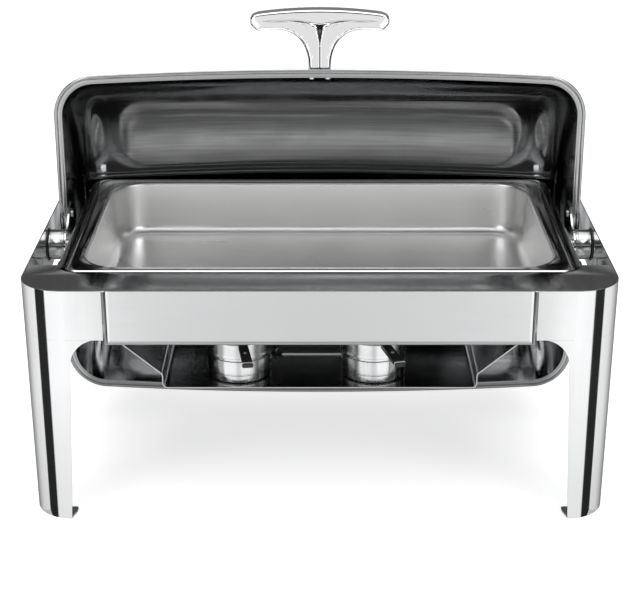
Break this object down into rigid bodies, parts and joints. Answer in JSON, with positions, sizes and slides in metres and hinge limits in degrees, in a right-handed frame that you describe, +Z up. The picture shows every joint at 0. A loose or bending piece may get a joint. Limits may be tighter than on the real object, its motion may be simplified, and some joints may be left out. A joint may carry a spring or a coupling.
{
  "type": "roll top chafer",
  "caption": "Rectangular buffet chafer: stainless stand with water pan, lift-out food pan, roll-top lid on side pivots, and burners on a hung tray.",
  "frame": {"origin": "on the floor under the pivot axis of the lid, midway between the sides and between the front and back faces of the legs", "axes": "+X to the right along the width, +Y from the front deck to the back, +Z up; the lid is half open at rest"},
  "size_m": [0.622, 0.428, 0.496],
  "materials": {
    "polished_steel": "mirror polished stainless steel",
    "satin_steel": "satin stainless steel",
    "tray_steel": "polished stainless steel",
    "cast_chrome": "polished casting",
    "fastener_steel": "bright fasteners",
    "black_plastic": "moulded black heat-resistant plastic",
    "black_nylon": "black nylon"
  },
  "bodies": {
    "stand": {"front_right_leg": "polished_steel", "front_left_leg": "polished_steel", "back_right_leg": "polished_steel", "back_left_leg": "polished_steel", "foot_plates": "polished_steel", "left_side_panel": "polished_steel", "right_side_panel": "polished_steel", "front_panel": "polished_steel", "water_pan": "polished_steel", "fuel_tray": "tray_steel", "tray_studs": "fastener_steel", "tray_nuts": "fastener_steel", "pivot_bolts": "fastener_steel", "pivot_washers": "black_nylon", "pivot_nuts": "fastener_steel", "spring_washers": "fastener_steel"},
    "lid": {"lid_shell": "polished_steel", "lid_ear_left": "polished_steel", "lid_ear_right": "polished_steel", "hinge_boss_left": "polished_steel", "hinge_boss_right": "polished_steel", "ear_rivets": "fastener_steel", "lid_handle": "cast_chrome", "handle_screws": "fastener_steel"},
    "food_pan": {"food_pan": "satin_steel"},
    "burner_left": {"burner_left": "polished_steel"},
    "cover_left": {"burner_cover_left": "polished_steel", "cover_tang_left": "polished_steel", "cover_grip_left": "black_plastic", "grip_rivet_left": "fastener_steel"},
    "burner_right": {"burner_right": "polished_steel"},
    "cover_right": {"burner_cover_right": "polished_steel", "cover_tang_right": "polished_steel", "cover_grip_right": "black_plastic", "grip_rivet_right": "fastener_steel"}
  },
  "joints": [
    {"name": "lid_roll", "type": "hinge", "parent": "stand", "child": "lid", "pos_m": [0, 0, 0.236], "axis": [-1, 0, 0], "range_deg": [-90, 80]},
    {"name": "food_pan_lift", "type": "slide", "parent": "stand", "child": "food_pan", "axis": [0, 0, 1], "range_m": [0, 0.022]},
    {"name": "burner_draw_left", "type": "slide", "parent": "stand", "child": "burner_left", "axis": [0, 1, 0], "range_m": [-0.11, 0]},
    {"name": "cover_turn_left", "type": "hinge", "parent": "burner_left", "child": "cover_left", "pos_m": [-0.09, -0.066, 0.15], "axis": [0, 0, 1], "range_deg": [-30, 30]},
    {"name": "burner_draw_right", "type": "slide", "parent": "stand", "child": "burner_right", "axis": [0, 1, 0], "range_m": [-0.11, 0]},
    {"name": "cover_turn_right", "type": "hinge", "parent": "burner_right", "child": "cover_right", "pos_m": [0.06, -0.066, 0.15], "axis": [0, 0, 1], "range_deg": [-30, 30]}
  ]
}
